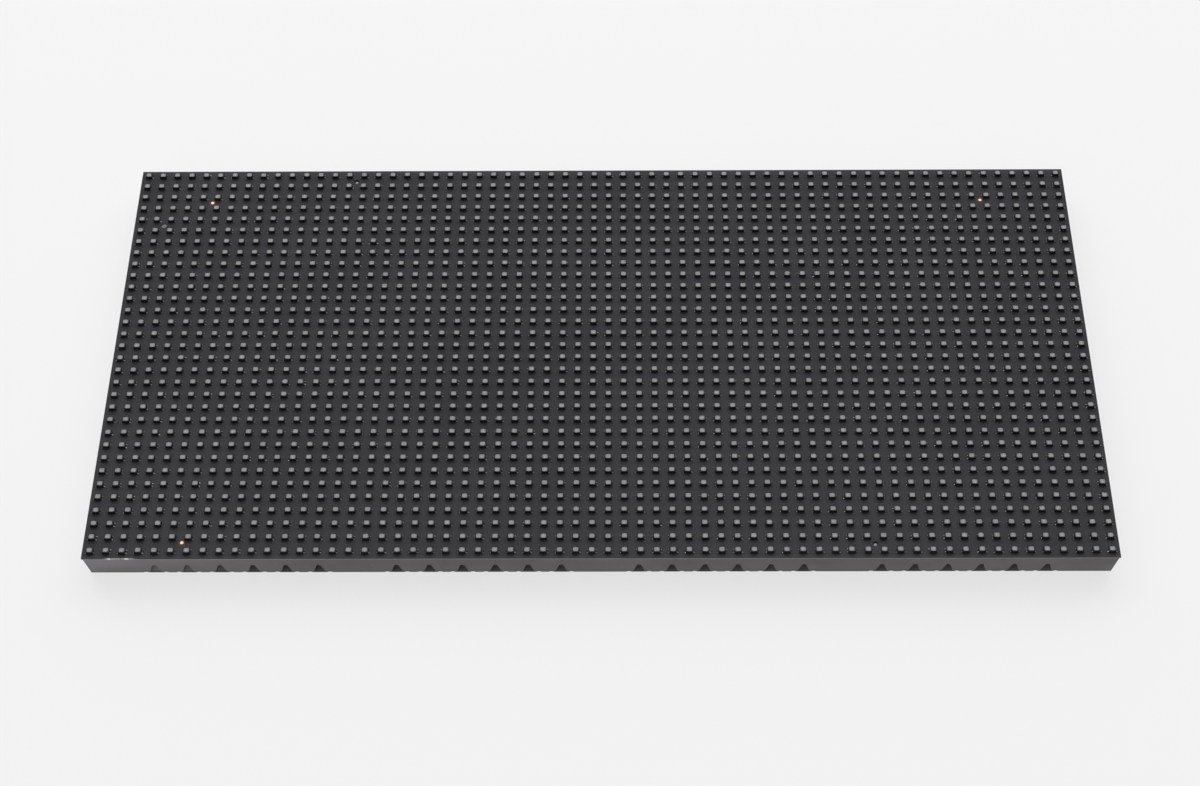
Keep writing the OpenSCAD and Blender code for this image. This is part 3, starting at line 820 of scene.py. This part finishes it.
def make_camera():
    """Looks down on the front edge: back is the way from the module to the camera, and a small roll
    turns right and up about it."""
    rise, swing, roll = radians(53.275), radians(0.823), radians(0.789)
    target = Vector((-0.16, -13.44, FACE_Z)) * MM
    distance = 0.60185
    back = Vector((sin(swing) * cos(rise), -cos(swing) * cos(rise), sin(rise)))
    right = Vector((cos(swing), sin(swing), 0))
    up = back.cross(right)
    side = cos(roll) * right - sin(roll) * up
    head = sin(roll) * right + cos(roll) * up
    lens = bpy.data.cameras.new("camera")
    lens.sensor_fit = "HORIZONTAL"
    lens.sensor_width = 36.0
    lens.lens = 69.735
    lens.clip_start = 0.01
    camera = bpy.data.objects.new("camera", lens)
    turn = Matrix((side, head, back)).transposed().to_4x4()
    camera.matrix_world = Matrix.Translation(target + back * distance) @ turn
    bpy.context.scene.collection.objects.link(camera)
    bpy.context.scene.camera = camera


# The module, put together

def dress(finish, *starts):
    """Gives the finish to every solid whose name starts with one of these words."""
    for name, solid in NODES.items():
        if name.startswith(starts):
            solid.data.materials.clear()
            solid.data.materials.append(finish)


bpy.context.scene.view_settings.view_transform = "Standard"
tin = tin_finish()
socket_black = moulded_finish("socket_black", paint(30, 30, 32), paint(44, 44, 46), 0.45)
socket_white = moulded_finish("socket_white", paint(226, 223, 212), paint(238, 236, 228), 0.35)
ceramic = moulded_finish("ceramic_tan", paint(150, 122, 90), paint(172, 144, 110), 0.4)
resistor = moulded_finish("resistor_black", paint(24, 24, 26), paint(40, 40, 43), 0.35)
peg_grey = moulded_finish("peg_grey", paint(168, 168, 170), paint(196, 196, 197), 0.5)
cap_middle = (paint(78, 78, 80), paint(92, 92, 94))
cap_rim = (paint(120, 120, 122), paint(138, 138, 140))
copper_dome = (paint(246, 224, 208), paint(226, 190, 166))
bare_laminate = (paint(94, 46, 20), paint(46, 28, 20))

dress(rubber_finish(), "soft_shell")
dress(board_finish(), "circuit_board")
dress(nickel_finish(), "magnets")
dress(chip_finish("driver_epoxy", DRIVERS), "driver_")
dress(chip_finish("switch_epoxy", ROW_SWITCHES), "row_switch_", "bus_buffer_")
dress(can_finish(), "bulk_capacitor_")
dress(socket_black, "data_in_socket", "data_out_socket")
dress(socket_white, "power_socket")
dress(gold_finish(), "data_in_pins", "data_out_pins")
dress(tin, "power_pins")
make_lamps(package_finish(), window_finish(), tin)
make_alignment_dots(ringed_finish("alignment_copper", copper_dome, bare_laminate, 0.45, 0.25))
make_two_ended("ceramic_capacitors", "decoupling_capacitors", CERAMIC_SIZE, CERAMIC_CAP, ceramic, tin,
               "capacitor_ceramic")
make_two_ended("chip_resistors", "setting_resistors", RESISTOR_SIZE, RESISTOR_CAP, resistor, tin,
               "resistor_black")
make_lead_solder(tin)
make_end_solder(tin)
make_capacitor_legs(tin)
make_test_pads(tin)
make_peg_tips(peg_grey)
make_peg_cap(ringed_finish("peg_cap_grey", cap_middle, cap_rim, 0.42, 0.0))
make_stage()
make_light()
make_camera()
